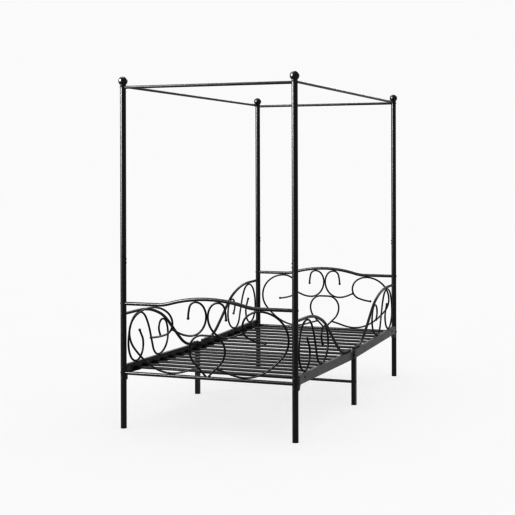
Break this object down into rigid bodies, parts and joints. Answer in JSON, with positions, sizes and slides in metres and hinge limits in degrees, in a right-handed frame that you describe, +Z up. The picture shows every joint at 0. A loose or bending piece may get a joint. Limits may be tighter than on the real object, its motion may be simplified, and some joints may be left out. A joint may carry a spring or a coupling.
{
  "type": "four poster canopy bed",
  "caption": "Four poster bed in black steel tube with ball finials, an open canopy frame, scrolled end panels and side guards, a slatted deck and middle legs.",
  "frame": {"origin": "on the floor under the middle of the bed", "axes": "+Z up, +Y along the bed towards the head end, +X to the right seen from the foot end"},
  "size_m": [1.0844, 1.987, 1.9565],
  "materials": {
    "frame_paint": "satin black powder coat on steel tube",
    "rod_paint": "satin black powder coat on steel rod",
    "rail_paint": "satin black powder coat on pressed steel",
    "slat_paint": "satin black powder coat on flat oval tube",
    "ball_paint": "gloss black enamel",
    "bolt_steel": "black oxide steel",
    "black_plastic": "moulded black plastic"
  },
  "bodies": {
    "root": {"lower_post_foot_left": "frame_paint", "lower_post_foot_right": "frame_paint", "lower_post_head_left": "frame_paint", "lower_post_head_right": "frame_paint", "upper_post_foot_left": "frame_paint", "upper_post_foot_right": "frame_paint", "upper_post_head_left": "frame_paint", "upper_post_head_right": "frame_paint", "finial_foot_left": "ball_paint", "finial_foot_right": "ball_paint", "finial_head_left": "ball_paint", "finial_head_right": "ball_paint", "canopy_end_rail_foot": "frame_paint", "canopy_end_rail_head": "frame_paint", "canopy_side_rail_left": "frame_paint", "canopy_side_rail_right": "frame_paint", "panel_top_rail_foot": "frame_paint", "panel_top_rail_head": "frame_paint", "panel_bottom_rail_foot": "frame_paint", "panel_bottom_rail_head": "frame_paint", "big_scroll_foot_left": "rod_paint", "big_scroll_foot_right": "rod_paint", "big_scroll_head_left": "rod_paint", "big_scroll_head_right": "rod_paint", "hook_scroll_foot_left": "rod_paint", "hook_scroll_foot_right": "rod_paint", "hook_scroll_head_left": "rod_paint", "hook_scroll_head_right": "rod_paint", "teardrop_foot": "rod_paint", "teardrop_head": "rod_paint", "guard_tube_foot_left": "frame_paint", "guard_tube_foot_right": "frame_paint", "guard_tube_head_left": "frame_paint", "guard_tube_head_right": "frame_paint", "guard_scroll_foot_left": "rod_paint", "guard_scroll_foot_right": "rod_paint", "guard_scroll_head_left": "rod_paint", "guard_scroll_head_right": "rod_paint", "side_rail_foot_left": "rail_paint", "side_rail_foot_right": "rail_paint", "side_rail_head_left": "rail_paint", "side_rail_head_right": "rail_paint", "middle_leg_left": "frame_paint", "middle_leg_right": "frame_paint", "crossbar": "frame_paint", "slat_pair_1": "slat_paint", "slat_pair_2": "slat_paint", "slat_pair_3": "slat_paint", "slat_pair_4": "slat_paint", "slat_pair_5": "slat_paint", "slat_pair_6": "slat_paint", "slat_pair_7": "slat_paint", "slat_pair_8": "slat_paint", "rail_brackets": "rail_paint", "foot_caps": "black_plastic", "slat_caps": "black_plastic", "tube_plugs": "black_plastic", "post_bolts": "bolt_steel", "rail_bolts": "bolt_steel", "hex_nuts": "bolt_steel"}
  },
  "joints": []
}
